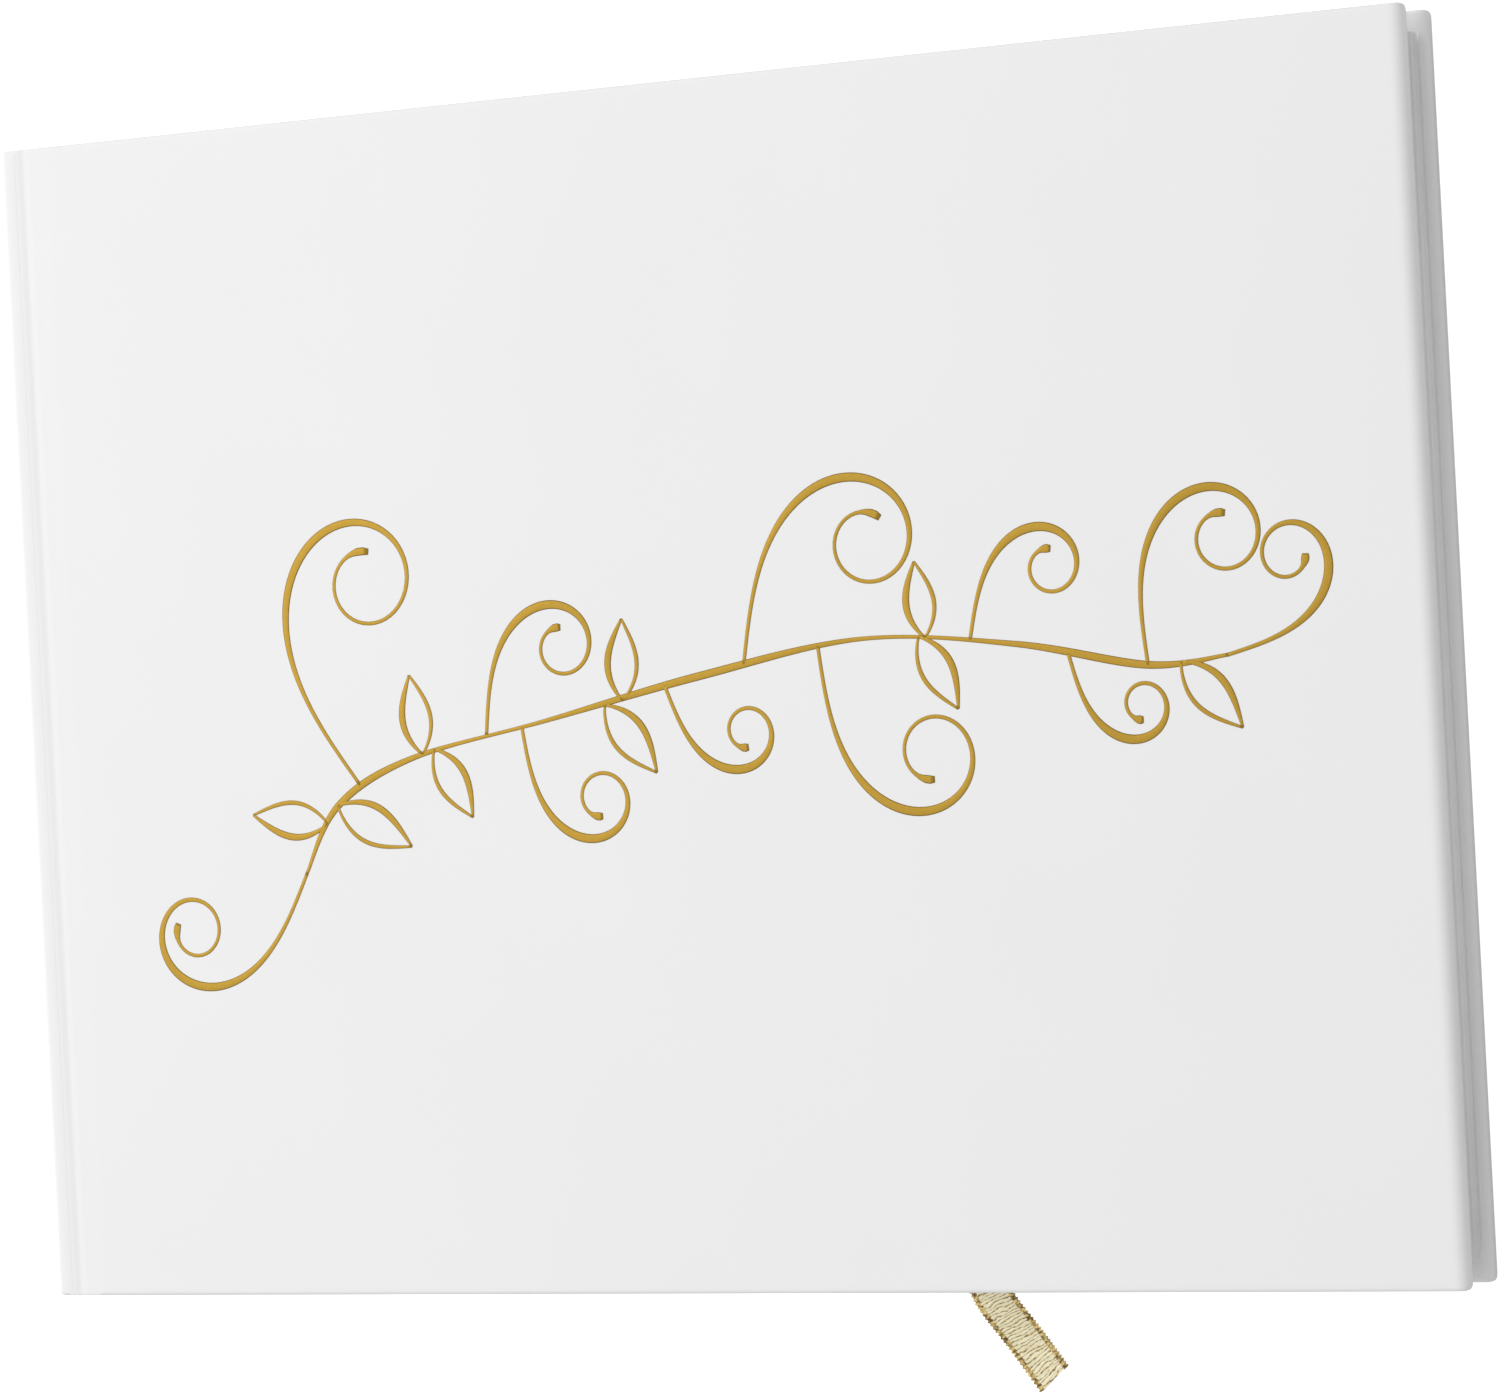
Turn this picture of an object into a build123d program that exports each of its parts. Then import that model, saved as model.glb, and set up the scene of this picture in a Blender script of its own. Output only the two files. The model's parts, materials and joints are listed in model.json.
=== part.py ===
"""Case-bound wedding guest book, lying closed on its back cover. Millimetres, +Z up.

X runs from the spine to the fore-edge and Y from the tail to the head. The origin is under the middle
of the case, on the surface that the book lies on.
"""

import os
from math import radians, sqrt, tan

from build123d import *

os.makedirs("parts", exist_ok=True)

# The case: two cover boards and a spine board, under one sheet of covering material.
case_width = 228.6  # spine to fore-edge
case_height = 177.8  # tail to head
board_thickness = 2.5
spine_board_thickness = 2.4
wrap_thickness = 0.3
turn_in = 15.0  # how far the covering folds over onto the inside
edge_radius = 1.0  # round of the covered edges
corner_radius = 1.6  # round of the covers' corners, seen from above
groove_depth = 0.9  # of the joint between the spine and a cover

# The text block: sections of folded sheets, between two endpapers.
section_count = 8
turning_sections = 4  # the ones in front of the ribbon, which turn with the front cover
sheets_per_section = 2
paper_thickness = 0.18
leaf_gap = 0.04
endpaper_thickness = 0.15
square = 3.4  # how far the covers stand out past the leaves, at head and tail
fore_square = 1.2  # and at the fore-edge

# The back of the text block.
hollow = 0.9  # air between the spine board and the lining
lining_thickness = 0.25
mull_thickness = 0.25
band_radius = 0.8  # of the head and tail bands
thread_radius = 0.1
thread_margin = 12.0  # from the ends of the leaves to the first stitch

# The ribbon marker, glued in at the head of the spine, crosses the block in a long slow curve.
ribbon_width = 6.0
ribbon_thickness = 0.15
ribbon_play = 0.025  # air on each side of it, between the leaves
ribbon_points = [(-107.0, 81.0), (-53.0, 30.0), (-7.0, -19.0), (23.3, -57.1), (34.1, -78.6)]
ribbon_fall = [(14.0, 0.0), (21.0, 4.2)]  # how far on from the last point, and how far down
ribbon_end = 28.0  # how far on from the last point it ends, on the surface

# The joints, where only the covering runs on from the spine board to a cover board.
joint_width = 5.5
hinge_lift = 0.15  # each cover's axis lies this far outside its face, over the middle of the joint
hinge_gap = 0.3  # air between what stays still and what turns

# Places worked out from these sizes.
cover_thickness = board_thickness + 2 * wrap_thickness
leaf_pitch = paper_thickness + leaf_gap
section_pitch = 2 * sheets_per_section * leaf_pitch
back_inner = cover_thickness + endpaper_thickness
back_block = back_inner + endpaper_thickness + leaf_gap
ribbon_layer = ribbon_thickness + 2 * ribbon_play
resting_sections = section_count - turning_sections
ribbon_bottom = back_block + resting_sections * section_pitch + ribbon_play
front_block = back_block + section_count * section_pitch + ribbon_layer
case_thickness = front_block + endpaper_thickness + back_inner

spine_x = -case_width / 2
fore_x = case_width / 2
spine_inner_x = spine_x + wrap_thickness + spine_board_thickness
lining_x = spine_inner_x + wrap_thickness + hollow
mull_x = lining_x + lining_thickness
block_x = mull_x + mull_thickness
leaf_fore_x = fore_x - fore_square
leaf_height = case_height - 2 * square

hinge_x = spine_inner_x + joint_width / 2
cover_x = spine_inner_x + joint_width  # where the covers and the turning leaves begin
still_x = cover_x - hinge_gap  # as far as what stays at the spine reaches

middle_plane = Plane.XY.offset(case_thickness / 2)


def save(piece, name):
    """Labels a finished piece and writes it."""
    piece.part.label = name
    export_step(piece.part, f"parts/{name}.step")


def cover_slab(inset, bottom, top, radius):
    """A plate as large as the cover less the inset, with its three free edges rounded below."""
    with BuildPart() as slab:
        with BuildSketch(Plane.XY.offset(bottom)):
            with Locations(((cover_x + fore_x - inset) / 2, 0)):
                Rectangle(fore_x - inset - cover_x, case_height - 2 * inset)
        extrude(amount=top - bottom)
        fore_corners = slab.edges().filter_by(Axis.Z).group_by(Axis.X)[-1]
        fillet(fore_corners, corner_radius - inset)
        rims = slab.edges().group_by(Axis.Z)[0] + slab.edges().group_by(Axis.Z)[-1]
        hinge_side = slab.edges().group_by(Axis.X)[0]
        fillet([rim for rim in rims if rim not in hinge_side], radius)
    return slab.part


def plate(x_from, x_to, bottom, thickness, depth):
    """A flat plate from one place along X to another, as deep as said along Y."""
    with BuildPart() as flat:
        with BuildSketch(Plane.XY.offset(bottom)):
            with Locations(((x_from + x_to) / 2, 0)):
                Rectangle(x_to - x_from, depth)
        extrude(amount=thickness)
    return flat.part


# Each cover: its board, the covering around it, and the pastedown that lines it.
for side in ("back", "front"):
    with BuildPart() as board:
        add(cover_slab(wrap_thickness, wrap_thickness, cover_thickness - wrap_thickness,
                       edge_radius - wrap_thickness))
        if side == "front":
            mirror(about=middle_plane, mode=Mode.REPLACE)
    save(board, f"{side}_board")

    with BuildPart() as wrap:
        add(cover_slab(0, 0, cover_thickness, edge_radius))
        add(cover_slab(wrap_thickness, wrap_thickness, cover_thickness - wrap_thickness,
                       edge_radius - wrap_thickness), mode=Mode.SUBTRACT)
        window_fore_x = fore_x - turn_in
        with BuildSketch(Plane.XY.offset(cover_thickness - wrap_thickness)):
            with Locations(((cover_x + window_fore_x) / 2, 0)):
                Rectangle(window_fore_x - cover_x, case_height - 2 * turn_in)
        extrude(amount=wrap_thickness, mode=Mode.SUBTRACT)
        if side == "front":
            mirror(about=middle_plane, mode=Mode.REPLACE)
    save(wrap, f"{side}_wrap")

    with BuildPart() as pastedown:
        add(plate(cover_x, leaf_fore_x, cover_thickness, endpaper_thickness, leaf_height))
        add(plate(cover_x, window_fore_x, cover_thickness - wrap_thickness, wrap_thickness,
                  case_height - 2 * turn_in))
        if side == "front":
            mirror(about=middle_plane, mode=Mode.REPLACE)
    save(pastedown, f"{side}_pastedown")

    # The flexible joint: the covering from the spine's edge down into the groove beside the cover.
    with BuildPart() as joint:
        groove_z = groove_depth + wrap_thickness / 2
        groove_drop = hinge_lift + groove_depth + wrap_thickness
        groove_end = hinge_x + sqrt((still_x - hinge_x)**2 - groove_drop**2)
        slope = (groove_end - spine_inner_x) / 3
        with BuildSketch(Plane.XZ):
            with BuildLine() as route:
                FilletPolyline(
                    (spine_inner_x, wrap_thickness / 2),
                    (spine_inner_x + slope, wrap_thickness / 2),
                    (spine_inner_x + 2 * slope, groove_z),
                    (groove_end, groove_z),
                    radius=groove_depth,
                )
            trace(line_width=wrap_thickness)
        extrude(amount=case_height / 2, both=True)
        if side == "front":
            mirror(about=middle_plane, mode=Mode.REPLACE)
    save(joint, f"{side}_joint_wrap")


def spine_panel(inset, radius):
    """The spine's section with its two outer corners rounded, less the inset on its outer sides."""
    with BuildPart() as panel:
        with BuildSketch(Plane.XZ):
            with Locations(((spine_x + inset + spine_inner_x) / 2, case_thickness / 2)):
                Rectangle(spine_inner_x - spine_x - inset, case_thickness - 2 * inset)
        extrude(amount=case_height / 2 - inset, both=True)
        fillet(panel.edges().filter_by(Axis.Y).group_by(Axis.X)[0], radius)
    return panel.part


with BuildPart() as spine_board:
    add(spine_panel(wrap_thickness, edge_radius - wrap_thickness))
save(spine_board, "spine_board")

with BuildPart() as spine_wrap:
    add(spine_panel(0, edge_radius))
    add(spine_panel(wrap_thickness, edge_radius - wrap_thickness), mode=Mode.SUBTRACT)
    turn_in_y = (case_height - turn_in) / 2
    with BuildSketch(Plane.YZ.offset(spine_inner_x)):
        with Locations((turn_in_y, case_thickness / 2), (-turn_in_y, case_thickness / 2)):
            Rectangle(turn_in, case_thickness - 2 * cover_thickness)
    extrude(amount=wrap_thickness)
save(spine_wrap, "spine_wrap")


def section_bottom(number):
    """The lowest leaf of a section. Section 1 is next to the front cover."""
    below = section_count - number
    lift = ribbon_layer if number <= turning_sections else 0
    return back_block + below * section_pitch + lift


def folded_sheets(number, fore_end):
    """A section's sheets, folded one inside the other, from their folds to the given place along X."""
    middle = section_bottom(number) + (section_pitch - leaf_gap) / 2
    fold_x = block_x + (section_pitch - leaf_gap) / 2
    with BuildPart() as sheets:
        for sheet in range(sheets_per_section):
            inner = sheet * leaf_pitch + leaf_gap / 2
            outer = inner + paper_thickness
            with BuildSketch(Plane.XZ):
                for radius, mode in ((outer, Mode.ADD), (inner, Mode.SUBTRACT)):
                    with Locations((fold_x, middle)):
                        Circle(radius, mode=mode)
                    with Locations(((fold_x + fore_end) / 2, middle)):
                        Rectangle(fore_end - fold_x, 2 * radius, mode=mode)
            extrude(amount=leaf_height / 2, both=True)
    return sheets.part


# The sections behind the ribbon lie still. Those in front of it keep their sewn folds at the spine,
# and their leaves turn.
for number in range(1, section_count + 1):
    if number > turning_sections:
        with BuildPart() as section:
            add(folded_sheets(number, leaf_fore_x))
        save(section, f"section_{number}")
        continue
    with BuildPart() as fold:
        add(folded_sheets(number, still_x))
    save(fold, f"section_{number}_fold")
    with BuildPart() as leaves:
        for leaf in range(2 * sheets_per_section):
            add(plate(cover_x, leaf_fore_x, section_bottom(number) + leaf * leaf_pitch,
                      paper_thickness, leaf_height))
    save(leaves, f"section_{number}")

# The endpapers' free leaves.
with BuildPart() as back_flyleaf:
    add(plate(block_x, leaf_fore_x, back_inner, endpaper_thickness, leaf_height))
save(back_flyleaf, "back_flyleaf")

with BuildPart() as front_flyleaf_hinge:
    add(plate(block_x, still_x, front_block, endpaper_thickness, leaf_height))
save(front_flyleaf_hinge, "front_flyleaf_hinge")

with BuildPart() as front_flyleaf:
    add(plate(cover_x, leaf_fore_x, front_block, endpaper_thickness, leaf_height))
save(front_flyleaf, "front_flyleaf")

# The back of the text block: gauze, then paper, over the folds.
block_thickness = front_block - back_block
with BuildPart() as mull:
    add(plate(mull_x, block_x, back_block, block_thickness, leaf_height))
save(mull, "mull")

with BuildPart() as spine_lining:
    add(plate(lining_x, mull_x, back_block, block_thickness, leaf_height))
save(spine_lining, "spine_lining")

# The bands stand on the ends of the folds, from the back of the block.
for end, way in (("head", 1), ("tail", -1)):
    with BuildPart() as band:
        with BuildSketch(Plane.XY.offset(back_block)):
            with Locations((block_x + band_radius, way * (leaf_height / 2 + band_radius))):
                Circle(band_radius)
        extrude(amount=block_thickness)
    save(band, f"{end}_band")

# The sewing thread runs in the valleys between the folds.
with BuildPart() as sewing_thread:
    valleys = [
        (section_bottom(number) + section_bottom(number + 1) + section_pitch - leaf_gap) / 2
        for number in range(1, section_count)
    ]
    with BuildSketch(Plane.XZ):
        with Locations([(block_x + thread_radius, height) for height in valleys]):
            Circle(thread_radius)
    extrude(amount=leaf_height / 2 - thread_margin, both=True)
save(sewing_thread, "sewing_thread")

def widest_radius(before, corner, after):
    """The radius whose arc uses 0.45 of the shorter of the two runs at a corner."""
    into, out = Vector(*corner) - Vector(*before), Vector(*after) - Vector(*corner)
    return 0.45 * min(into.length, out.length) / tan(radians(into.get_angle(out)) / 2)


def widest_radii(points):
    """The widest radius at each corner of a route."""
    return [widest_radius(*points[i:i + 3]) for i in range(len(points) - 2)]


# The ribbon lies flat between two sections, then falls past the tail and ends on the surface.
ribbon_middle = ribbon_bottom + ribbon_thickness / 2
fall_start = Vector(*ribbon_points[-1], ribbon_middle)
fall_way = (Vector(*ribbon_points[-1]) - Vector(*ribbon_points[-2])).normalized()
fall_plane = Plane(origin=fall_start, x_dir=fall_way, z_dir=fall_way.cross(Vector(0, 0, 1)))
fall_points = [(0, 0)] + [(along, -down) for along, down in ribbon_fall]
fall_points += [(ribbon_end, ribbon_thickness / 2 - ribbon_middle)]
flat_radii, fall_radii = widest_radii(ribbon_points), widest_radii(fall_points)

with BuildPart() as ribbon:
    with BuildSketch(Plane.XY.offset(ribbon_bottom)):
        with BuildLine() as flat_route:
            FilletPolyline(*ribbon_points, radius=flat_radii)
        trace(line_width=ribbon_width)
    extrude(amount=ribbon_thickness)
    with BuildSketch(fall_plane):
        with BuildLine() as fall_route:
            FilletPolyline(*fall_points, radius=fall_radii)
        trace(line_width=ribbon_thickness)
    extrude(amount=ribbon_width / 2, both=True)
save(ribbon, "ribbon")

ribbon_length = flat_route.wires()[0].length + fall_route.wires()[0].length
print("case", case_width, case_height, round(case_thickness, 2))
print("ribbon length", round(ribbon_length, 1), "by volume",
      round(ribbon.part.volume / ribbon_width / ribbon_thickness, 1),
      "radii", [round(radius, 1) for radius in flat_radii + fall_radii])
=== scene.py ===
"""The looks of a case-bound wedding guest book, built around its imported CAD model.

Lengths are in millimetres until a mesh is made. X runs from the spine to the fore-edge, Y from the tail
to the head, and Z up. Depths into a cover are counted from its outer face.
"""

import json
import math
import random

import bmesh
import bpy
from mathutils import Matrix, Vector

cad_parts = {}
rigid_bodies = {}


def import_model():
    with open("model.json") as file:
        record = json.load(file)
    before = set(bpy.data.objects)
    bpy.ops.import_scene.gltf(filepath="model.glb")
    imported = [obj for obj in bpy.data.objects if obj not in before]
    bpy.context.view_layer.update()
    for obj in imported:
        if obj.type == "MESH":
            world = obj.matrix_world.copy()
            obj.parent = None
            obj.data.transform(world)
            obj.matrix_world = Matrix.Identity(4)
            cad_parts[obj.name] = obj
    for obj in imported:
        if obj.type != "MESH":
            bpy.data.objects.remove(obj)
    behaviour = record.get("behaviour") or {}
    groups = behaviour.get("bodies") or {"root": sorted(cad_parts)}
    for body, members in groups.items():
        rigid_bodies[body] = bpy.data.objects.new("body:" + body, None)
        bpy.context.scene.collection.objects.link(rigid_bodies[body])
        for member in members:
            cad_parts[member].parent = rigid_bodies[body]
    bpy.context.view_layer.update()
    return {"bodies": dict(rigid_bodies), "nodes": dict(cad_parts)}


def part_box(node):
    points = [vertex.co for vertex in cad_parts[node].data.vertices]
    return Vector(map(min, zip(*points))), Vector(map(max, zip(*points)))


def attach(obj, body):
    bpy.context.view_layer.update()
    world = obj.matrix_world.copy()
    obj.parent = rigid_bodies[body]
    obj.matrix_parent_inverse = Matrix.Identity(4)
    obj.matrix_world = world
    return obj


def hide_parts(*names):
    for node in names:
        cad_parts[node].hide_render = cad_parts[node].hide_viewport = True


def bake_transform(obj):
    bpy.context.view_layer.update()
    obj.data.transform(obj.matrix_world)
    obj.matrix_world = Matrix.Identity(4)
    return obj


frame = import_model()

MM = 0.001


def corners_of(node):
    """The lowest and highest corners of a CAD node, in millimetres."""
    low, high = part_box(node)
    return Vector(low) / MM, Vector(high) / MM


# Places on the book, all from the frame.
cover_low, cover_high = corners_of("front_wrap")
_, board_high = corners_of("spine_board")
spine_low, _ = corners_of("spine_wrap")
block_low, block_high = corners_of("section_5")
top = cover_high.z
fore_edge = cover_high.x
half_height = cover_high.y
cover_thickness = cover_high.z - cover_low.z
joint_start = board_high.x
cover_start = cover_low.x
block_back = block_low.x
leaf_fore = block_high.x
leaf_half = block_high.y


# ---------------------------------------------------------------- meshes

def make_piece(name, points, faces, material, lengths=None, smooth=True):
    """A mesh piece from points in millimetres. The lengths give each point its place on the flat material."""
    mesh = bpy.data.meshes.new(name)
    mesh.from_pydata([Vector(point) * MM for point in points], [], faces)
    if lengths:
        layer = mesh.uv_layers.new(name="UVMap")
        for loop in mesh.loops:
            layer.data[loop.index].uv = Vector(lengths[loop.vertex_index]) * MM
    shell = bmesh.new()
    shell.from_mesh(mesh)
    bmesh.ops.recalc_face_normals(shell, faces=shell.faces)
    shell.to_mesh(mesh)
    shell.free()
    mesh.polygons.foreach_set("use_smooth", [smooth] * len(mesh.polygons))
    mesh.materials.append(material)
    piece = bpy.data.objects.new(name, mesh)
    bpy.context.scene.collection.objects.link(piece)
    return piece


def loft_faces(rings, ring_size):
    """Faces between rings of points that follow each other, with a cap at each end."""
    faces = []
    for ring in range(rings - 1):
        for i in range(ring_size):
            a, b = ring * ring_size + i, ring * ring_size + (i + 1) % ring_size
            faces.append((a, b, b + ring_size, a + ring_size))
    faces.append(tuple(range(ring_size)))
    faces.append(tuple(range((rings - 1) * ring_size, rings * ring_size)))
    return faces


def loft(name, rings, material):
    """A closed piece through rings of points. Its material is laid along the rings and round them."""
    size = len(rings[0])
    points = [point for ring in rings for point in ring]
    lengths = []
    along = 0.0
    for number, ring in enumerate(rings):
        if number:
            along += (Vector(ring[0]) - Vector(rings[number - 1][0])).length
        round_it = 0.0
        for i in range(size):
            lengths.append((along, round_it))
            round_it += (Vector(ring[(i + 1) % size]) - Vector(ring[i])).length
    return make_piece(name, points, loft_faces(len(rings), size), material, lengths)


def ease(t):
    """0 before 0, 1 after 1, and a smooth rise between them."""
    t = max(0.0, min(1.0, t))
    return t * t * (3 - 2 * t)


def spread_evenly(low, high, count):
    """Evenly spaced values from low to high."""
    return [low + (high - low) * i / (count - 1) for i in range(count)]


EDGE_ROWS = (0.6, 2.5)  # how far from a slab's rounded corners the first rows of points lie
FACE_ROWS = 13  # and how many rows share the rest of its face


def rounded_section(half, near, far, radius):
    """(across, depth) points round a slab's section with rounded corners, from its near face on."""
    through = min(radius, 0.49 * (far - near))
    flat = half - radius
    close, next_on = EDGE_ROWS
    face = [-flat, close - flat, *spread_evenly(next_on - flat, flat - next_on, FACE_ROWS), flat - close, flat]
    leaving = [math.radians(angle) for angle in (15, 30, 45, 60, 75, 90)]
    arriving = [angle - leaving[0] for angle in leaving]
    points = [(across, near) for across in face]
    points += [(flat + radius * math.sin(a), near + through * (1 - math.cos(a))) for a in leaving]
    points += [(flat + radius * math.cos(a), far - through * (1 - math.sin(a))) for a in arriving]
    points += [(across, far) for across in reversed(face)]
    points += [(-flat - radius * math.sin(a), far - through * (1 - math.cos(a))) for a in leaving]
    points += [(-flat - radius * math.cos(a), near + through * (1 - math.sin(a))) for a in arriving]
    return points


# ---------------------------------------------------------------- materials

def node_group(name, inputs, outputs):
    """An empty shader node group with named inputs and outputs, and its nodes at both ends."""
    group = bpy.data.node_groups.new(name, "ShaderNodeTree")
    for label, kind in inputs:
        group.interface.new_socket(label, in_out="INPUT", socket_type=kind)
    for label, kind in outputs:
        group.interface.new_socket(label, in_out="OUTPUT", socket_type=kind)
    return group, group.nodes.new("NodeGroupInput"), group.nodes.new("NodeGroupOutput")


def add_node(tree, kind, values=None, **settings):
    """A node with its settings made and its input values or links filled in."""
    node = tree.nodes.new(kind)
    for label, setting in settings.items():
        setattr(node, label, setting)
    for label, value in (values or {}).items():
        if isinstance(value, bpy.types.NodeSocket):
            tree.links.new(value, node.inputs[label])
        else:
            node.inputs[label].default_value = value
    return node


def math_node(tree, operation, *terms):
    """The result of one sum on up to three values or sockets."""
    return add_node(tree, "ShaderNodeMath", dict(enumerate(terms)), operation=operation).outputs[0]


def grain_group():
    """Fine grain: a close pebble over a slow unevenness."""
    group, start, end = node_group(
        "fine_grain",
        [("Place", "NodeSocketVector"), ("Grain", "NodeSocketFloat"), ("Blotch", "NodeSocketFloat")],
        [("Height", "NodeSocketFloat"), ("Tone", "NodeSocketFloat")])
    place = start.outputs["Place"]
    fine = add_node(group, "ShaderNodeTexNoise", {"Vector": place, "Scale": start.outputs["Grain"],
                                                  "Detail": 3.0, "Roughness": 0.6})
    slow = add_node(group, "ShaderNodeTexNoise", {"Vector": place, "Scale": start.outputs["Blotch"],
                                                  "Detail": 2.0, "Roughness": 0.5})
    group.links.new(fine.outputs["Fac"], end.inputs["Height"])
    group.links.new(slow.outputs["Fac"], end.inputs["Tone"])
    return group


def fibre_group():
    """Paper fibres: short strands lying two ways, and cloudy formation."""
    group, start, end = node_group(
        "paper_fibre",
        [("Place", "NodeSocketVector"), ("Fibre", "NodeSocketFloat")],
        [("Height", "NodeSocketFloat"), ("Cloud", "NodeSocketFloat")])
    strands = []
    for stretch in ((1.0, 0.22, 1.0), (0.3, 1.0, 1.0)):
        laid = add_node(group, "ShaderNodeMapping", {"Vector": start.outputs["Place"], "Scale": stretch})
        strands.append(add_node(group, "ShaderNodeTexNoise", {
            "Vector": laid.outputs["Vector"], "Scale": start.outputs["Fibre"], "Detail": 2.0}))
    both = math_node(group, "ADD", strands[0].outputs["Fac"], strands[1].outputs["Fac"])
    cloud = add_node(group, "ShaderNodeTexNoise", {"Vector": start.outputs["Place"], "Scale": 160.0,
                                                   "Detail": 3.0})
    group.links.new(math_node(group, "MULTIPLY", both, 0.5), end.inputs["Height"])
    group.links.new(cloud.outputs["Fac"], end.inputs["Cloud"])
    return group


def weave_group():
    """A plain weave: warp and weft threads going over and under each other."""
    group, start, end = node_group(
        "plain_weave",
        [("Place", "NodeSocketVector"), ("Warp", "NodeSocketFloat"), ("Weft", "NodeSocketFloat")],
        [("Height", "NodeSocketFloat"), ("Thread", "NodeSocketFloat")])
    axes = add_node(group, "ShaderNodeSeparateXYZ", {"Vector": start.outputs["Place"]})
    warp = math_node(group, "SINE", math_node(group, "MULTIPLY", axes.outputs["X"], start.outputs["Warp"]))
    weft = math_node(group, "SINE", math_node(group, "MULTIPLY", axes.outputs["Y"], start.outputs["Weft"]))
    crossing = math_node(group, "MULTIPLY", warp, weft)
    raised = math_node(group, "MULTIPLY_ADD", crossing, 0.5, 0.5)
    threads = math_node(group, "MAXIMUM", math_node(group, "ABSOLUTE", warp),
                        math_node(group, "ABSOLUTE", weft))
    group.links.new(raised, end.inputs["Height"])
    group.links.new(threads, end.inputs["Thread"])
    return group


GRAIN, FIBRE, WEAVE = grain_group(), fibre_group(), weave_group()


def start_material(name, laid_flat=True):
    """A new material, its shader, and where on it a point is: on the flat material, or on the solid."""
    material = bpy.data.materials.new(name)
    material.use_nodes = True
    tree = material.node_tree
    shader = tree.nodes["Principled BSDF"]
    place = tree.nodes.new("ShaderNodeTexCoord").outputs["UV" if laid_flat else "Object"]
    return material, tree, shader, place


def use_group(tree, group, **values):
    """A node that uses one of the shared groups."""
    return add_node(tree, "ShaderNodeGroup", values, node_tree=group)


def tint(tree, mask, first, last, low=0.3, high=0.7, between=None):
    """A colour that goes from the first to the last as the mask goes from low to high.

    Between them it may pass a third, given as its place on the mask and its colour.
    """
    ramp = add_node(tree, "ShaderNodeValToRGB", {"Fac": mask})
    stops = ramp.color_ramp.elements
    stops[0].position, stops[1].position = low, high
    stops[0].color, stops[1].color = (*first, 1), (*last, 1)
    if between:
        place, colour = between
        stops.new(place).color = (*colour, 1)
    return ramp.outputs["Color"]


def span(tree, mask, low, high):
    """A value that goes from low to high with the mask."""
    node = add_node(tree, "ShaderNodeMapRange", {"Value": mask, "To Min": low, "To Max": high})
    return node.outputs["Result"]


def emboss(tree, shader, height, depth_mm, strength=1.0, under=None):
    """Raises the surface by the height, which is depth_mm high."""
    values = {"Height": height, "Distance": depth_mm * MM, "Strength": strength}
    if under:
        values["Normal"] = under
    bump = add_node(tree, "ShaderNodeBump", values)
    tree.links.new(bump.outputs["Normal"], shader.inputs["Normal"])
    return bump.outputs["Normal"]


def covering_material():
    """White covering with a soft-touch face: nearly smooth, with a very fine grain."""
    material, tree, shader, place = start_material("white_covering")
    grain = use_group(tree, GRAIN, Place=place, Grain=2600.0, Blotch=24.0)
    tree.links.new(tint(tree, grain.outputs["Tone"], (0.815, 0.815, 0.815), (0.825, 0.825, 0.825)),
                   shader.inputs["Base Color"])
    tree.links.new(span(tree, grain.outputs["Height"], 0.5, 0.62), shader.inputs["Roughness"])
    shader.inputs["Specular IOR Level"].default_value = 0.35
    emboss(tree, shader, grain.outputs["Height"], 0.012, 0.5)
    return material


def paper_material(name, dark, light, fibre, laid_flat=True):
    """Uncoated paper, with fibres in its surface."""
    material, tree, shader, place = start_material(name, laid_flat)
    fibres = use_group(tree, FIBRE, Place=place, Fibre=fibre)
    tree.links.new(tint(tree, fibres.outputs["Cloud"], dark, light), shader.inputs["Base Color"])
    tree.links.new(span(tree, fibres.outputs["Height"], 0.82, 0.95), shader.inputs["Roughness"])
    shader.inputs["Specular IOR Level"].default_value = 0.25
    emboss(tree, shader, fibres.outputs["Height"], 0.02, 0.5)
    return material


def cloth_material(name, dark, light, warp, weft, depth, laid_flat=True):
    """A plain-woven cloth."""
    material, tree, shader, place = start_material(name, laid_flat)
    weave = use_group(tree, WEAVE, Place=place, Warp=warp, Weft=weft)
    tree.links.new(tint(tree, weave.outputs["Thread"], dark, light, 0.1, 0.8), shader.inputs["Base Color"])
    tree.links.new(span(tree, weave.outputs["Height"], 0.95, 0.75), shader.inputs["Roughness"])
    shader.inputs["Sheen Weight"].default_value = 0.2
    emboss(tree, shader, weave.outputs["Height"], depth)
    return material


def foil_material():
    """Gold blocking foil: satin, with the faint unevenness that the stamp leaves."""
    material, tree, shader, place = start_material("gold_foil", laid_flat=False)
    grain = use_group(tree, GRAIN, Place=place, Grain=1500.0, Blotch=60.0)
    tree.links.new(tint(tree, grain.outputs["Tone"], (0.39, 0.240, 0.028), (0.44, 0.265, 0.034)),
                   shader.inputs["Base Color"])
    shader.inputs["Metallic"].default_value = 0.5
    shader.inputs["Specular IOR Level"].default_value = 0.2
    tree.links.new(span(tree, grain.outputs["Height"], 0.42, 0.55), shader.inputs["Roughness"])
    emboss(tree, shader, grain.outputs["Height"], 0.01, 0.4)
    return material


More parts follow.
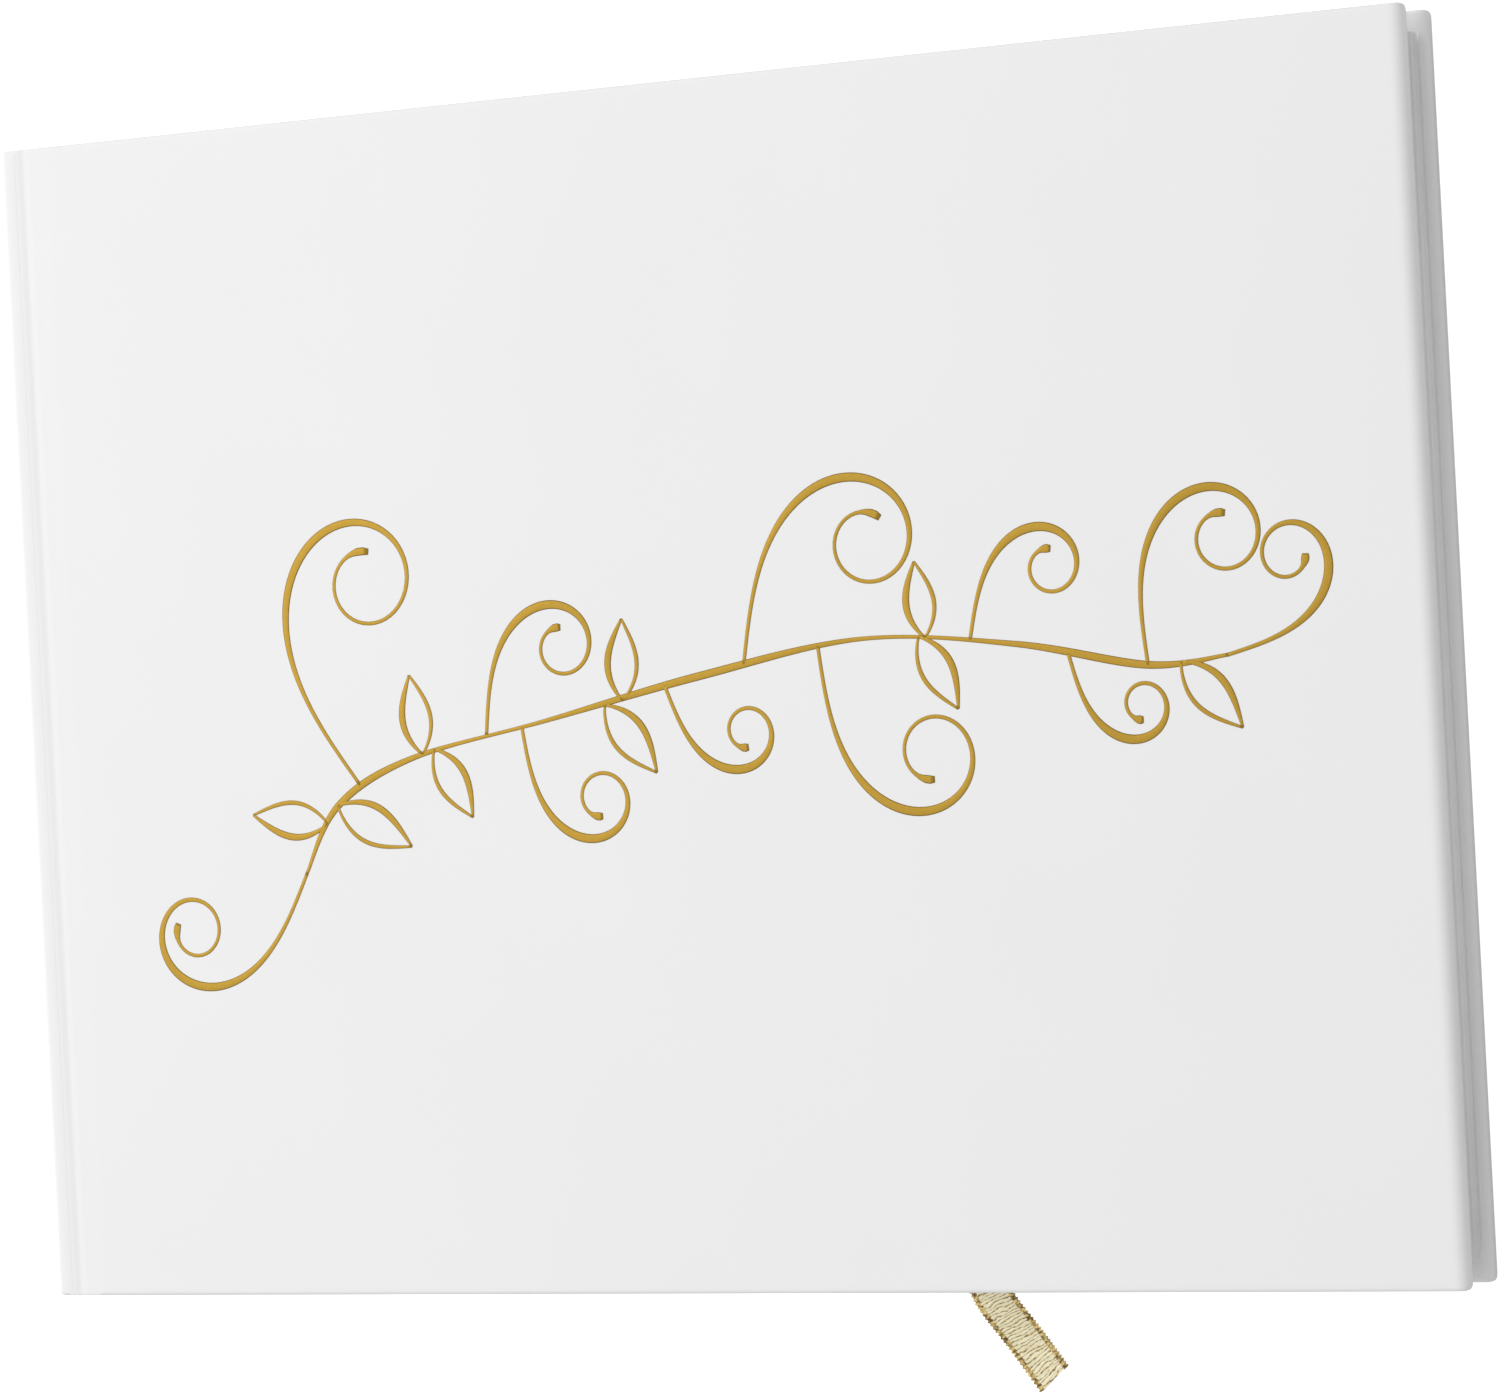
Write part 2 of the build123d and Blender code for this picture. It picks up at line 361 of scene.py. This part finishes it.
def ribbon_web_material():
    """Pale metal gauze with wavy streaks across it. The dark streaks lie in the grooves of its bump and are
    painted shade.
    """
    material, tree, shader, place = start_material("ribbon_web")
    along = add_node(tree, "ShaderNodeSeparateXYZ", {"Vector": place}).outputs["X"]
    drawn_out = add_node(tree, "ShaderNodeMapping", {"Vector": place, "Scale": (1.0, 0.4, 1.0)})
    wander = add_node(tree, "ShaderNodeTexNoise", {"Vector": drawn_out.outputs["Vector"], "Scale": 750.0})
    breaks = add_node(tree, "ShaderNodeTexNoise", {"Vector": drawn_out.outputs["Vector"], "Scale": 4200.0})
    wave = math_node(tree, "SINE", math_node(tree, "ADD", math_node(tree, "MULTIPLY", along, 12000.0),
                                             math_node(tree, "MULTIPLY", wander.outputs["Fac"], 16.0)))
    thread = math_node(tree, "ADD", math_node(tree, "MULTIPLY_ADD", wave, 0.28, 0.28),
                       math_node(tree, "MULTIPLY", breaks.outputs["Fac"], 0.6))
    # Dark brown where the streak mask is low, which is where the bump below also sinks: painted shade in the
    # grooves.
    colour = tint(tree, thread, (0.17, 0.11, 0.04), (1, 0.94, 0.68), 0.27, 0.60, (0.38, (0.84, 0.67, 0.32)))
    tree.links.new(colour, shader.inputs["Base Color"])
    shader.inputs["Metallic"].default_value = 0.15
    tree.links.new(span(tree, breaks.outputs["Fac"], 0.6, 0.3), shader.inputs["Roughness"])
    weave = use_group(tree, WEAVE, Place=place, Warp=24000.0, Weft=9000.0)
    rough = emboss(tree, shader, weave.outputs["Height"], 0.03, 0.4)
    emboss(tree, shader, thread, 0.08, 0.6, rough)
    return material


def ribbon_edge_material():
    """Close-woven gold thread, darkened between its turns by painted shade."""
    material, tree, shader, place = start_material("ribbon_edge")
    gap_shade = add_node(tree, "ShaderNodeTexVoronoi", {"Vector": place, "Scale": 1700.0, "Randomness": 0.8})
    grain = use_group(tree, GRAIN, Place=place, Grain=2400.0, Blotch=900.0)
    # The gold darkens from the middle of each turn to its border: painted shade between the turns.
    colour = tint(tree, gap_shade.outputs["Distance"], (1.0, 0.76, 0.30), (0.14, 0.07, 0.01), 0.30, 0.80)
    tree.links.new(colour, shader.inputs["Base Color"])
    shader.inputs["Metallic"].default_value = 0.45
    tree.links.new(span(tree, grain.outputs["Tone"], 0.25, 0.5), shader.inputs["Roughness"])
    emboss(tree, shader, grain.outputs["Height"], 0.06, 0.7)
    return material


white_covering = covering_material()
leaf_paper = paper_material("leaf_paper", (0.86, 0.86, 0.862), (0.89, 0.89, 0.892), 2600.0)
end_paper = paper_material("end_paper", (0.86, 0.86, 0.86), (0.89, 0.89, 0.89), 1900.0)
end_paper_cad = paper_material("end_paper_pasted", (0.86, 0.86, 0.86), (0.89, 0.89, 0.89), 1900.0, False)
grey_board = paper_material("grey_board", (0.20, 0.19, 0.17), (0.32, 0.30, 0.27), 700.0, False)
kraft_paper = paper_material("kraft_paper", (0.30, 0.20, 0.11), (0.40, 0.28, 0.16), 1500.0, False)
gauze = cloth_material("mull_gauze", (0.42, 0.40, 0.34), (0.80, 0.77, 0.68), 2600.0, 2600.0, 0.08, False)
band_cloth = cloth_material("band_cloth", (0.62, 0.58, 0.48), (0.88, 0.86, 0.80), 9000.0, 9000.0, 0.03)
linen = cloth_material("linen_thread", (0.5, 0.46, 0.36), (0.82, 0.78, 0.66), 9000.0, 5000.0, 0.04, False)
gold_foil = foil_material()
ribbon_web = ribbon_web_material()
ribbon_edge = ribbon_edge_material()


# ---------------------------------------------------------------- the camera

LENS, SENSOR_WIDTH = 133.52, 36.0
TILT, PITCH, ROLL = 25.471, 0.217, -2.988  # towards the fore-edge, towards the tail, and about its own axis
CAMERA_PLACE = (2.838, -1.551, 826.96)  # sideways, up and back from the origin, before it is turned


def make_camera():
    """A long lens above the book, tilted towards the fore-edge and turned a little on its axis."""
    camera = bpy.data.objects.new("camera", bpy.data.cameras.new("camera"))
    camera.data.lens = LENS
    camera.data.sensor_width = SENSOR_WIDTH
    turned = Matrix.Identity(4)
    for angle, axis in ((TILT, "Y"), (PITCH, "X"), (ROLL, "Z")):
        turned = turned @ Matrix.Rotation(math.radians(angle), 4, axis)
    camera.matrix_world = turned @ Matrix.Translation(Vector(CAMERA_PLACE) * MM)
    camera.data.clip_start, camera.data.clip_end = 0.05, 10.0
    bpy.context.scene.collection.objects.link(camera)
    bpy.context.scene.camera = camera


# ---------------------------------------------------------------- the ribbon marker

RIBBON_WIDTH = 6.0
RIBBON_THICKNESS = 0.1
WEB_MARGIN = 0.5  # how far the gauze stops short of each side
WEB_STEP, EDGE_STEP = 0.14, 0.1  # between the rings of points along the gauze and along the edges
RIPPLE = 0.04  # height of the gauze's crinkles
LOOP_PITCH = 0.65  # of the small loops along its edges
LOOP_REACH = 0.24  # how far they stand out
EDGE_INNER, EDGE_OUTER = 0.85, 0.05  # where an edge begins and ends, in from the ribbon's side
EDGE_HALF_THICKNESS, EDGE_LUMP = 0.075, 0.03
CUT_SLANT, CUT_REACH = 0.27, 8.0  # how steeply the end is cut, and how far back the weave is drawn with it
# The route of its middle, in metres: flat in the block, then down past the tail to the surface.
RIBBON_ROUTE = [
    (-0.1070, 0.0810, 0.00706), (-0.0530, 0.0300, 0.00706), (-0.0070, -0.0190, 0.00706),
    (0.0233, -0.0571, 0.00706), (0.0345, -0.0786, 0.00706), (0.0392, -0.0880, 0.00706),
    (0.0407, -0.0911, 0.00706), (0.0437, -0.0974, 0.00286), (0.0464, -0.1030, 0.00045),
]


def ribbon_route():
    """Points along the ribbon's middle, in millimetres, from a smooth spline through its route."""
    curve = bpy.data.curves.new("ribbon_route", "CURVE")
    curve.dimensions = "3D"
    curve.resolution_u = 24
    spline = curve.splines.new("NURBS")
    spline.points.add(len(RIBBON_ROUTE) - 1)
    for spot, point in zip(spline.points, RIBBON_ROUTE):
        spot.co = (*point, 1)
    spline.order_u = 3
    spline.use_endpoint_u = True
    guide = bpy.data.objects.new("ribbon_route", curve)
    mesh = bpy.data.meshes.new_from_object(guide)
    route = [vertex.co / MM for vertex in mesh.vertices]
    bpy.data.objects.remove(guide)
    bpy.data.curves.remove(curve)
    bpy.data.meshes.remove(mesh)
    return route


def walk(route, step):
    """Evenly spaced (place, forward, sideways, up, distance) along a route."""
    stops = []
    gone, wanted = 0.0, 0.0
    for a, b in zip(route, route[1:]):
        length = (b - a).length
        forward = (b - a).normalized()
        side = forward.cross(Vector((0, 0, 1))).normalized()
        while wanted <= gone + length:
            stops.append((a + forward * (wanted - gone), forward, side, side.cross(forward), wanted))
            wanted += step
        gone += length
    return stops, gone


def ribbon_web_piece(route):
    """The crinkled middle of the ribbon, cut a little aslant at its end."""
    stops, length = walk(route, WEB_STEP)
    chance = random.Random(7)
    across = spread_evenly(-0.5, 0.5, 15)
    drift = [0.0]
    for _ in across[1:]:
        drift.append(drift[-1] + chance.uniform(-0.9, 0.7))
    rings = []
    for place, forward, side, up, distance in stops:
        ring = []
        for face in (1, -1):
            for t, phase in zip(across[::face], drift[::face]):
                ripple = RIPPLE * math.sin(distance * 8.4 + phase + 0.9 * math.sin(distance * 1.3 + 5 * t))
                lift = ripple * (1 - abs(2 * t) ** 6) + face * RIBBON_THICKNESS / 4
                cut = slant(t * RIBBON_WIDTH, distance, length)
                ring.append(place + side * t * (RIBBON_WIDTH - 2 * WEB_MARGIN) + forward * cut + up * lift)
        rings.append(ring)
    return loft("ribbon_web", rings, ribbon_web)


def slant(across, distance, length):
    """How far a point is pushed along the ribbon so that its end is cut aslant."""
    return across * CUT_SLANT * max(0.0, 1 - (length - distance) / CUT_REACH)


def ribbon_edge_piece(route, way):
    """One of the ribbon's thick woven edges, with a row of small loops along it."""
    stops, length = walk(route, EDGE_STEP)
    rings = []
    for place, forward, side, up, distance in stops:
        turn = distance * 2 * math.pi / LOOP_PITCH
        loop = max(0.0, math.sin(turn)) ** 0.7
        inner, outer = RIBBON_WIDTH / 2 - EDGE_INNER, RIBBON_WIDTH / 2 - EDGE_OUTER + LOOP_REACH * loop
        middle, half = (inner + outer) / 2, (outer - inner) / 2
        ring = []
        for i in range(12):
            angle = 2 * math.pi * i / 12
            across = way * (middle + half * math.cos(angle))
            lump = EDGE_LUMP * math.sin(turn + 1.0 + 2 * math.cos(angle))
            thick = (EDGE_HALF_THICKNESS + lump) * math.sin(angle)
            ring.append(place + side * across + forward * slant(across, distance, length) + up * thick)
        rings.append(ring)
    return loft(f"ribbon_edge_{'left' if way < 0 else 'right'}", rings, ribbon_edge)


def make_ribbon():
    """The woven ribbon marker, which leaves the block at the tail."""
    route = ribbon_route()
    web = ribbon_web_piece(route)
    edges = [ribbon_edge_piece(route, way) for way in (-1, 1)]
    for piece in [web, *edges]:
        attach(piece, "spine")
    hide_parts("ribbon")


# ---------------------------------------------------------------- the case

ROUND_IN, ROUND_DOWN = 1.8, 1.1  # how far in and how far down a cover's fore-edge rounds over
END_ROUND = 0.6  # radius of its head and tail edges
JOINT_ROUND = 0.3  # and of the joint's
CORNER = 0.8  # of a cover, seen from above
JOINT_THICKNESS = 0.6  # of the covering in the joint, folded double
BOARD_BEFORE, BOARD_RISE = 0.7, 0.9  # how far before a cover the joint thickens, and over what length
SPINE_ROUND, HIDDEN_ROUND = 1.0, 0.05  # the spine's outer edges, and the ones beside the joints

# The joint's depths: all along it, in a pressed line, and in a wide hollow. Places are from its start.
JOINT_DEPTH = 0.02
LINE_DEPTH, LINE_PLACE, LINE_WIDTH = 0.075, 1.5, 0.7
HOLLOW_DEPTH, HOLLOW_FALL, HOLLOW_END, HOLLOW_RISE = 0.06, 1.6, 3.0, 3.5


def groove(x):
    """How deep the covering lies in the joint between the spine and a cover."""
    line = math.exp(-((x - joint_start - LINE_PLACE) / LINE_WIDTH) ** 2)
    hollow = ease((x - joint_start) / HOLLOW_FALL) * (1 - ease((x - joint_start - HOLLOW_END) / HOLLOW_RISE))
    return JOINT_DEPTH + LINE_DEPTH * line + HOLLOW_DEPTH * hollow


def cover_ring(x, side):
    """The points round a cover's section at x. side is 1 for the front and -1 for the back."""
    board = ease((x - cover_start + BOARD_BEFORE) / BOARD_RISE)
    near = groove(x)
    far = near + JOINT_THICKNESS + (cover_thickness - JOINT_THICKNESS) * board
    rounding = JOINT_ROUND + (END_ROUND - JOINT_ROUND) * board
    past = x - (fore_edge - ROUND_IN)
    drop = ROUND_DOWN * (1 - math.sqrt(max(0.0, 1 - (past / ROUND_IN) ** 2))) if past > 0 else 0.0
    turned = x - (fore_edge - CORNER)
    inset = CORNER - math.sqrt(max(0.0, CORNER ** 2 - turned ** 2)) if turned > 0 else 0.0
    section = rounded_section(half_height - inset, near + drop, far - drop, rounding)
    return [(x, y, top - depth if side > 0 else depth) for y, depth in section]


def make_cover_piece(side, name, nodes):
    """The covering of one cover and its joint, thinner and grooved at the joint."""
    joint = [joint_start - 0.4, *spread_evenly(joint_start, cover_start, 23)]
    face = [cover_start + step for step in (0.25, 0.6, 1.2, 2.0, 3.5)]
    face += spread_evenly(cover_start + 8, fore_edge - 8, 20) + [fore_edge - 3.5, fore_edge - 2.2]
    rounding = [fore_edge - ROUND_IN * (1 - math.sin(math.radians(angle)))
                for angle in (0, 12, 25, 38, 50, 62, 72, 81, 90)]
    rings = [cover_ring(x, side) for x in joint + face + rounding]
    piece = loft(name, rings, white_covering)
    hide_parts(*nodes)
    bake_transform(piece)


def spine_ring(y, inset):
    """The points round the spine's section at y, drawn in by the inset where its ends round over."""
    west, floor, roof = spine_low.x + inset, spine_low.z + inset, top - inset
    corners = ((west, roof, SPINE_ROUND, 180), (joint_start, roof, HIDDEN_ROUND, 90),
               (joint_start, floor, HIDDEN_ROUND, 0), (west, floor, SPINE_ROUND, -90))
    ring = []
    for corner_x, corner_z, radius, start in corners:
        centre_x = corner_x + (radius if corner_x == west else -radius)
        centre_z = corner_z + (radius if corner_z == floor else -radius)
        for step in range(7):
            angle = math.radians(start - 15 * step)
            ring.append((centre_x + radius * math.cos(angle), y, centre_z + radius * math.sin(angle)))
    return ring


def make_spine_piece():
    """The covering of the spine board: a narrow upright slab with rounded outer edges."""
    turn = [math.radians(angle) for angle in (90, 70, 50, 30, 12, 0)]
    tail_end = [(-half_height + END_ROUND * (1 - math.sin(a)), END_ROUND * (1 - math.cos(a))) for a in turn]
    middle = [(y, 0.0) for y in spread_evenly(-half_height + 2, half_height - 2, 15)]
    head_end = [(-y, inset) for y, inset in reversed(tail_end)]
    rings = [spine_ring(y, inset) for y, inset in tail_end + middle + head_end]
    piece = loft("spine_covering", rings, white_covering)
    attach(piece, "spine")
    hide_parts("spine_wrap")


def make_case():
    """The three covered boards."""
    make_spine_piece()
    make_cover_piece(1, "front_covering", ("front_wrap", "front_joint_wrap"))
    make_cover_piece(-1, "back_covering", ("back_wrap", "back_joint_wrap"))


# ---------------------------------------------------------------- the foil flourish

# The stem's route, on the cover's face from the middle of the case.
STEM = [(-66.0, -25.0), (-60.0, -15.0), (-47.0, -8.4), (-24.0, -3.8), (2.0, 1.6), (28.0, 5.6),
        (52.0, 3.6), (72.0, -0.4), (84.0, 0.4)]
# Each tendril: where it leaves the stem, the way it sets off, its length, and how far it winds up.
TENDRILS = [
    (-66.0, -25.0, 243, 68, -540), (-56.0, -12.0, 126, 92, -500), (-34.0, -5.4, 84, 52, -450),
    (-28.0, -4.6, -82, 48, 450), (-4.0, 0.4, -70, 42, 440), (9.0, 2.9, 80, 78, -480),
    (21.0, 4.9, -84, 68, 450), (45.0, 4.6, 78, 46, -450), (60.0, 1.8, -76, 38, 440),
    (72.0, -0.4, 96, 62, -470), (84.0, 0.4, 14, 47, 440),
]
# Each leaf: where it sits on the stem, the way it points, and its length.
SPRIG_LEAVES = [
    (-62.0, -17.6, 172, 13), (-60.0, -15.0, -28, 14), (-45.0, -7.8, 98, 12), (-43.0, -7.2, -60, 12),
    (-11.0, -1.4, 88, 12), (-14.0, -2.0, -52, 13), (38.0, 5.3, 96, 11), (37.0, 5.4, -62, 12),
    (77.0, -0.2, -48, 13),
]
FOIL_HEIGHT = 0.03
STROKE_STEP = 0.0006  # each stroke lies this much over the one before, so that crossings don't flicker


def stem_stroke():
    """The stem: a smooth curve through its route, swelling and thinning like a pen's line."""
    padded = [STEM[0], *STEM, STEM[-1]]
    route = []
    for p, q, r, s in zip(padded, padded[1:], padded[2:], padded[3:]):
        for t in spread_evenly(0, 1, 17)[:-1]:
            route.append(tuple(0.5 * (2 * b + (c - a) * t + (2 * a - 5 * b + 4 * c - d) * t ** 2
                                      + (3 * b - a - 3 * c + d) * t ** 3) for a, b, c, d in zip(p, q, r, s)))
    route.append(STEM[-1])
    widths = [0.55 + 0.65 * math.sin(3 * math.pi * i / (len(route) - 1)) ** 2 for i in range(len(route))]
    return route, widths


def tendril_stroke(x, y, heading, length, winding):
    """A curl that sets off nearly straight, winds up tighter and tighter, and ends in a small bulb."""
    steps = 96
    route, widths = [(x, y)], [0.6]
    for step in range(steps):
        t = (step + 0.5) / steps
        way = math.radians(heading + winding * t ** 2.2)
        x, y = x + math.cos(way) * length / steps, y + math.sin(way) * length / steps
        route.append((x, y))
        swell, bulb = math.exp(-((t - 0.42) / 0.2) ** 2), math.exp(-((t - 0.98) / 0.02) ** 2)
        widths.append(0.55 + 0.8 * swell + 0.7 * bulb)
    return route, widths


def leaf_stroke(x, y, heading, length, side):
    """One edge of a leaf, bowed out and thicker on one side."""
    way = math.radians(heading)
    route, widths = [], []
    for t in spread_evenly(0, 1, 25):
        along, across = length * t, side * 0.2 * length * math.sin(math.pi * t ** 0.85)
        route.append((x + along * math.cos(way) - across * math.sin(way),
                      y + along * math.sin(way) + across * math.cos(way)))
        widths.append(0.38 + (0.7 if side > 0 else 0.3) * math.sin(math.pi * t))
    return route, widths


def stroke_mesh(route, widths, lift):
    """A stroke as a thin closed strip of foil, with a slightly domed top."""
    points, faces = [], []
    dome = [(-1.0, 0.0), (-0.72, 0.75), (0.0, 1.0), (0.72, 0.75), (1.0, 0.0), (0.0, -0.2)]
    for i, (place, width) in enumerate(zip(route, widths)):
        before, after = Vector(route[max(i - 1, 0)]), Vector(route[min(i + 1, len(route) - 1)])
        way = (after - before).normalized()
        side = Vector((-way.y, way.x))
        for across, up in dome:
            spot = Vector(place) + side * across * width / 2
            points.append((spot.x, spot.y, top + lift + FOIL_HEIGHT * up))
    return points, loft_faces(len(route), len(dome))


def make_foil():
    """A generic flourish of a leafy stem with curling tendrils, blocked in gold on the front cover."""
    strokes = [stem_stroke()]
    strokes += [tendril_stroke(*tendril) for tendril in TENDRILS]
    strokes += [leaf_stroke(*leaf, side) for leaf in SPRIG_LEAVES for side in (1, -1)]
    points, faces = [], []
    for number, (route, widths) in enumerate(strokes):
        more, more_faces = stroke_mesh(route, widths, STROKE_STEP * number)
        faces += [tuple(index + len(points) for index in face) for face in more_faces]
        points += more
    piece = make_piece("foil_flourish", points, faces, gold_foil)
    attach(piece, "front_cover")


# ---------------------------------------------------------------- the text block

LEAF_THICKNESS = 0.18
SECTIONS, SHEETS = 8, 2
SHORT_BY = {4: 0.9, 8: 1.3}  # how much these sections fall short of the others at the fore-edge
FLYLEAF_SHORT = 1.0  # and the back flyleaf
UNEVEN_FORE, UNEVEN_END = 0.25, 0.12  # the most that one sheet's edges fall short, where it varies


def sheet_piece_mesh(route, thickness, half):
    """A thin sheet along a route of (x, z) points, from tail to head, as points and faces."""
    rows = spread_evenly(-half, half, 5)
    points, faces = [], []
    for i, place in enumerate(route):
        before, after = Vector(route[max(i - 1, 0)]), Vector(route[min(i + 1, len(route) - 1)])
        way = (after - before).normalized()
        out = Vector((-way.y, way.x)) * thickness / 2
        ring = [(place[0] + out.x, y, place[1] + out.y) for y in rows]
        ring += [(place[0] - out.x, y, place[1] - out.y) for y in reversed(rows)]
        points += ring
    return points, loft_faces(len(route), 2 * len(rows))


def leaf_stations(fold, fore):
    """Places along a leaf, close together where it bends beside the fold."""
    return spread_evenly(fold, fold + 9, 31) + [fold + 12] + spread_evenly(fold + 20, fore, 7)


def make_section(number, chance):
    """One sewn section of folded sheets."""
    low, high = corners_of(f"section_{number}")
    middle = (low.z + high.z) / 2
    pitch = (high.z - low.z - LEAF_THICKNESS) / (2 * SHEETS - 1)
    fold = block_back + (high.z - low.z) / 2
    fore = leaf_fore - SHORT_BY.get(number, 0.0)
    points, faces = [], []
    for sheet in range(SHEETS):
        radius = (sheet + 0.5) * pitch
        half = leaf_half - chance.uniform(0.0, UNEVEN_END)
        uneven = 0.0 if sheet == SHEETS - 1 else UNEVEN_FORE
        lower = [(x, middle - radius) for x in leaf_stations(fold, fore - chance.uniform(0, uneven))]
        upper = [(x, middle + radius) for x in leaf_stations(fold, fore - chance.uniform(0, uneven))]
        bend = [(fold - radius * math.sin(a), middle - radius * math.cos(a))
                for a in (math.radians(angle) for angle in range(20, 180, 20))]
        more, more_faces = sheet_piece_mesh(lower[::-1] + bend + upper, LEAF_THICKNESS, half)
        faces += [tuple(index + len(points) for index in face) for face in more_faces]
        points += more
    lengths = [(point[0], point[1]) for point in points]
    piece = make_piece(f"section_{number}_sheets", points, faces, leaf_paper, lengths)
    if f"section_{number}" in frame["bodies"]:
        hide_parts(f"section_{number}", f"section_{number}_fold")
        bend_with(piece)
    else:
        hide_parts(f"section_{number}")
        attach(piece, "spine")


def bend_with(piece):
    """Bakes the piece's place into its mesh, where it lies; it neither bends nor follows a body."""
    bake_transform(piece)


def make_endpapers():
    """The two flyleaves, and the papers that cross the two joints."""
    low, high = corners_of("front_flyleaf")
    thickness = high.z - low.z
    route = [(x, (low.z + high.z) / 2) for x in leaf_stations(block_back, leaf_fore - 0.1)]
    points, faces = sheet_piece_mesh(route, thickness, leaf_half - 0.05)
    flyleaf = make_piece("front_flyleaf_sheet", points, faces, end_paper, [point[:2] for point in points])
    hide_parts("front_flyleaf", "front_flyleaf_hinge")
    bend_with(flyleaf)
    low, high = corners_of("back_flyleaf")
    route = [(x, (low.z + high.z) / 2) for x in leaf_stations(low.x, leaf_fore - FLYLEAF_SHORT)]
    points, faces = sheet_piece_mesh(route, thickness, leaf_half - 0.05)
    last = make_piece("back_flyleaf_sheet", points, faces, end_paper, [point[:2] for point in points])
    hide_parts("back_flyleaf")
    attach(last, "spine")
    for side, body in (("front", "front_cover"), ("back", "back_cover")):
        pasted_low, pasted_high = corners_of(f"{side}_pastedown")
        route = [(x, (pasted_low.z + pasted_high.z) / 2)
                 for x in spread_evenly(block_back + 0.1, pasted_low.x - 0.01, 19)]
        points, faces = sheet_piece_mesh(route, thickness, leaf_half)
        joint = make_piece(f"{side}_endpaper_joint", points, faces, end_paper, [point[:2] for point in points])
        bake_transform(joint)


BAND_TURN = 0.45  # between two turns of the thread round a head or tail band
BAND_RINGS, BAND_SIDES = 97, 14


def make_band(end):
    """A head or tail band: a cord wound round with thread, sewn to the ends of the folds."""
    low, high = corners_of(f"{end}_band")
    centre = (low + high) / 2
    radius = (high.x - low.x) / 2
    rings = []
    for z in spread_evenly(low.z, high.z, BAND_RINGS):
        wound = radius * (0.9 + 0.1 * abs(math.sin(math.pi * (z - low.z) / BAND_TURN)))
        ring = []
        for i in range(BAND_SIDES):
            angle = 2 * math.pi * i / BAND_SIDES
            ring.append((centre.x + wound * math.cos(angle), centre.y + wound * math.sin(angle), z))
        rings.append(ring)
    piece = loft(f"{end}_band_roll", rings, band_cloth)
    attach(piece, "spine")
    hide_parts(f"{end}_band")


def make_block():
    """Everything between the covers."""
    chance = random.Random(11)
    for number in range(1, SECTIONS + 1):
        make_section(number, chance)
    make_endpapers()
    make_band("head")
    make_band("tail")


def paint_frame():
    """Materials for the CAD pieces that stay."""
    finishes = {
        "front_board": grey_board, "back_board": grey_board, "spine_board": grey_board,
        "front_pastedown": end_paper_cad, "back_pastedown": end_paper_cad,
        "mull": gauze, "spine_lining": kraft_paper, "sewing_thread": linen,
    }
    for node, finish in finishes.items():
        piece = frame["nodes"][node]
        piece.data.materials.clear()
        piece.data.materials.append(finish)


# ---------------------------------------------------------------- the studio

FLOOR_REACH, FLOOR_GAP = 3000, 0.02  # to each side, and below the book
FLOOR_TONE, FLOOR_GLOW, SKY_STRENGTH = 0.74, 0.75, 0.62
KEY_PLACE, KEY_SIZE, KEY_POWER = (-1.35, 0.5, 1.4), 2.2, 29.0  # metres, metres and watts


def make_studio():
    """A plain white floor, a soft light all round and a large one from above the spine."""
    floor_material, tree, shader, _ = start_material("floor")
    shader.inputs["Base Color"].default_value = (FLOOR_TONE, FLOOR_TONE, FLOOR_TONE, 1)
    shader.inputs["Roughness"].default_value = 0.9
    shader.inputs["Emission Color"].default_value = (1, 1, 1, 1)
    seen = add_node(tree, "ShaderNodeLightPath").outputs["Is Camera Ray"]
    tree.links.new(math_node(tree, "MULTIPLY", seen, FLOOR_GLOW), shader.inputs["Emission Strength"])
    corners = [(x * FLOOR_REACH, y * FLOOR_REACH, -FLOOR_GAP) for x, y in ((-1, -1), (1, -1), (1, 1), (-1, 1))]
    floor = make_piece("floor", corners, [(0, 1, 2, 3)], floor_material, smooth=False)
    world = bpy.data.worlds.new("studio")
    bpy.context.scene.world = world
    world.use_nodes = True
    background = world.node_tree.nodes["Background"]
    background.inputs["Color"].default_value = (1, 1, 1, 1)
    background.inputs["Strength"].default_value = SKY_STRENGTH
    key = bpy.data.objects.new("key", bpy.data.lights.new("key", "AREA"))
    key.data.shape, key.data.size, key.data.energy = "DISK", KEY_SIZE, KEY_POWER
    key.location = KEY_PLACE
    key.rotation_euler = (-Vector(KEY_PLACE)).to_track_quat("-Z", "Y").to_euler()
    bpy.context.scene.collection.objects.link(key)
    bpy.context.scene.view_settings.view_transform = "Standard"


make_camera()
make_ribbon()
make_case()
make_foil()
make_block()
paint_frame()
make_studio()
